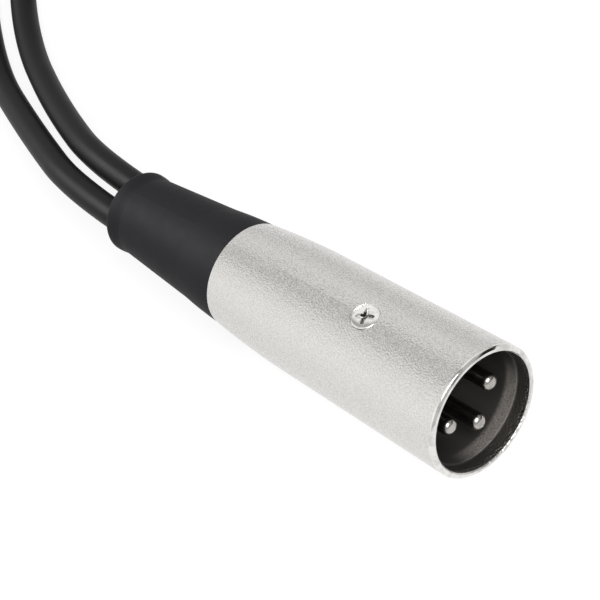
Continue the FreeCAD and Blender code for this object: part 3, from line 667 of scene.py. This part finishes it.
class SPLITTER_OT_screws(bpy.types.Operator):
    """Makes the three retaining screws."""

    bl_idname = "splitter.screws"
    bl_label = "Retaining Screws"

    def execute(self, context):
        steel = turned_metal("polished_nickel_screw", "F1EFEC", 0.12, 0.3 * MM, 0.004 * MM, "recess")
        for plug, turn in SCREW_TURNS.items():
            node = f"{plug}_retaining_screw"
            low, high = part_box(node)
            middle = (low + high) / 2
            points, quads, fans, shares = screw_surface(high.z - SCREW_DOME, math.radians(turn))
            points[:, 0] += middle.x
            points[:, 1] += middle.y
            screw = mesh_piece(f"{plug}_screw", points, quads.tolist() + fans.tolist(), steel)
            # The recess attribute carries the painted shade of the cross recess.
            screw.data.attributes.new("recess", "FLOAT", "POINT").data.foreach_set("value", shares)
            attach(screw, ROOT)
            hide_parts(node)
        return {"FINISHED"}


class SPLITTER_OT_stage(bpy.types.Operator):
    """Sets the floor, the light and the camera."""

    bl_idname = "splitter.stage"
    bl_label = "Floor, Light and Camera"

    def execute(self, context):
        settings = context.scene.splitter_stage
        self.make_floor()
        self.make_sky(context, settings)
        self.make_lamps(context, settings)
        self.make_camera(context)
        context.scene.view_settings.view_transform = "Standard"
        return {"FINISHED"}

    def make_floor(self):
        """A pale floor that looks white and keeps a soft shadow."""
        square = np.array([(-1.0, -1.0, 0.0), (1.0, -1.0, 0.0), (1.0, 1.0, 0.0), (-1.0, 1.0, 0.0)])
        corners = FLOOR_HALF * square
        corners[:, 2] = -FLOOR_DROP
        material, tree = new_material("white_floor")
        seen = add_node(tree, "ShaderNodeLightPath")
        rays = calculate(tree, "MAXIMUM", seen.outputs["Is Camera Ray"], seen.outputs["Is Glossy Ray"])
        rays = calculate(tree, "MAXIMUM", rays, seen.outputs["Is Transmission Ray"])
        cloth = add_node(tree, "ShaderNodeBsdfDiffuse", {"Color": linear("8F8F8F")})
        glow = add_node(tree, "ShaderNodeEmission", {"Color": WHITE, "Strength": 0.86})
        thin = add_node(tree, "ShaderNodeBsdfDiffuse", {"Color": (0.22, 0.22, 0.22, 1.0)})
        lit = add_node(tree, "ShaderNodeAddShader", {0: glow.outputs[0], 1: thin.outputs[0]})
        mix = add_node(tree, "ShaderNodeMixShader", {0: rays, 1: cloth.outputs[0], 2: lit.outputs[0]})
        add_node(tree, "ShaderNodeOutputMaterial", {"Surface": mix.outputs[0]})
        floor = mesh_piece("floor", corners, [[0, 1, 2, 3]], material)

    def make_sky(self, context, settings):
        """Plain white to the camera, an even fill to matt surfaces and a tent to mirror-like ones.

        The tent is white, with a dark gap overhead, a dark slit low on the far side and a dimmer front.
        """
        world = bpy.data.worlds.new("studio_tent")
        world.use_nodes = True
        context.scene.world = world
        tree = world.node_tree
        tree.nodes.clear()
        way = add_node(tree, "ShaderNodeTexCoord").outputs["Generated"]
        parts = add_node(tree, "ShaderNodeSeparateXYZ", {"Vector": way})
        angle = calculate(tree, "ARCTAN2", parts.outputs["Y"], parts.outputs["Z"])
        degrees = calculate(tree, "MULTIPLY", angle, 180 / math.pi)
        rise = share_of(tree, degrees, *GAP_START)
        fall = share_of(tree, degrees, *GAP_END)
        gap = calculate(tree, "MULTIPLY", rise, calculate(tree, "SUBTRACT", 1.0, fall))
        light = calculate(tree, "MULTIPLY_ADD", gap, -GAP_DARKNESS * settings.sky, settings.sky)
        near_side = calculate(tree, "SUBTRACT", 1.0, share_of(tree, degrees, *NEAR_SIDE))
        light = calculate(tree, "MULTIPLY_ADD", near_side, NEAR_SIDE_GAIN * settings.sky, light)
        front = share_of(tree, parts.outputs["X"], *FRONT)
        raised = calculate(tree, "MULTIPLY_ADD", front, -SLIT_FRONT_RISE, parts.outputs["Z"])
        low = calculate(tree, "SUBTRACT", 1.0, share_of(tree, raised, *SLIT_TOP))
        far_side = share_of(tree, parts.outputs["Y"], *SLIT_SIDE)
        slit = calculate(tree, "MULTIPLY", low, far_side)
        front_part = -SLIT_FRONT_DARKNESS * settings.sky
        depth = calculate(tree, "MULTIPLY_ADD", front, front_part, -SLIT_DARKNESS * settings.sky)
        light = calculate(tree, "MULTIPLY_ADD", slit, depth, light)
        dimming = calculate(tree, "MULTIPLY", light, -FRONT_DARKNESS)
        light = calculate(tree, "MULTIPLY_ADD", front, dimming, light)
        seen = add_node(tree, "ShaderNodeLightPath")
        glossy = seen.outputs["Is Glossy Ray"]
        fill = add_node(tree, "ShaderNodeBackground", {"Color": WHITE, "Strength": settings.fill})
        tent = add_node(tree, "ShaderNodeBackground", {"Color": WHITE, "Strength": light})
        white = add_node(tree, "ShaderNodeBackground", {"Color": WHITE, "Strength": 1.0})
        mix = add_node(tree, "ShaderNodeMixShader", {0: glossy, 1: fill.outputs[0], 2: tent.outputs[0]})
        camera_ray = seen.outputs["Is Camera Ray"]
        plainly = calculate(tree, "MAXIMUM", camera_ray, seen.outputs["Is Transmission Ray"])
        mix = add_node(tree, "ShaderNodeMixShader", {0: plainly, 1: mix.outputs[0], 2: white.outputs[0]})
        add_node(tree, "ShaderNodeOutputWorld", {"Surface": mix.outputs[0]})

    def make_lamps(self, context, settings):
        """A soft light near the camera, and one behind that reaches only the boots and cables."""
        matt = bpy.data.collections.new(MATT_PIECES)
        rows = (
            ("soft_key", KEY_PLACE, KEY_WIDTH, settings.key_power, None),
            ("cable_light", CABLE_LIGHT_PLACE, CABLE_LIGHT_WIDTH, settings.cable_power, matt),
        )
        for name, where, width, power, receivers in rows:
            lamp = bpy.data.lights.new(name, "AREA")
            lamp.shape = "RECTANGLE"
            lamp.size = width
            lamp.size_y = width
            lamp.energy = power
            light = bpy.data.objects.new(name, lamp)
            place = np.array(where)
            away = place / np.linalg.norm(place)
            side = np.cross([1.0, 0.0, 0.0], away)
            side /= np.linalg.norm(side)
            along = np.cross(side, away)
            columns = np.column_stack([along, side, away])
            light.matrix_world = Matrix.LocRotScale(place, Matrix(columns.tolist()), None)
            context.scene.collection.objects.link(light)
            if receivers is not None:
                light.light_linking.receiver_collection = receivers

    def make_camera(self, context):
        """The photograph's camera: a long lens, a third of a metre away."""
        lens = bpy.data.cameras.new("camera")
        lens.sensor_width = 36.0
        lens.lens = CAMERA_LENS
        lens.clip_start = 0.01
        lens.clip_end = 20.0
        camera = bpy.data.objects.new("camera", lens)
        turn = Matrix((CAMERA_RIGHT, CAMERA_UP, CAMERA_BACK)).transposed()
        camera.matrix_world = Matrix.LocRotScale(CAMERA_PLACE, turn, None)
        context.scene.collection.objects.link(camera)
        context.scene.camera = camera


class SPLITTER_PT_panel(bpy.types.Panel):
    """Lists the pieces and their settings."""

    bl_idname = "SPLITTER_PT_panel"
    bl_label = "Splitter Cable"
    bl_space_type = "VIEW_3D"
    bl_region_type = "UI"
    bl_category = "Splitter Cable"

    def draw(self, context):
        for group, names in PANEL_ROWS.items():
            box = self.layout.box()
            for name in names:
                box.prop(getattr(context.scene, group), name)
        for operator in OPERATORS:
            self.layout.operator(operator.bl_idname)


PANEL_ROWS = {
    "splitter_shells": ("grain", "grain_height", "roughness"),
    "splitter_cables": ("diameter",),
    "splitter_stage": ("key_power", "cable_power", "sky", "fill"),
}
GROUPS = {
    "splitter_shells": SPLITTER_PG_shells,
    "splitter_cables": SPLITTER_PG_cables,
    "splitter_stage": SPLITTER_PG_stage,
}
OPERATORS = (
    SPLITTER_OT_stage,
    SPLITTER_OT_screws,
    SPLITTER_OT_cables,
    SPLITTER_OT_shells,
    SPLITTER_OT_rim,
    SPLITTER_OT_inserts,
    SPLITTER_OT_contacts,
    SPLITTER_OT_boots,
    SPLITTER_OT_inner_pieces,
)


def register():
    """Registers the settings, the operators and the panel."""
    for name, group in GROUPS.items():
        bpy.utils.register_class(group)
        setattr(bpy.types.Scene, name, bpy.props.PointerProperty(type=group))
    for operator in OPERATORS:
        bpy.utils.register_class(operator)
    bpy.utils.register_class(SPLITTER_PT_panel)


def unregister():
    """Takes them back in reverse order."""
    bpy.utils.unregister_class(SPLITTER_PT_panel)
    for operator in reversed(OPERATORS):
        bpy.utils.unregister_class(operator)
    for name, group in reversed(GROUPS.items()):
        delattr(bpy.types.Scene, name)
        bpy.utils.unregister_class(group)


def main():
    """Makes everything in order."""
    register()
    for operator in OPERATORS:
        group, name = operator.bl_idname.split(".")
        getattr(getattr(bpy.ops, group), name)()


if __name__ == "__main__":
    main()
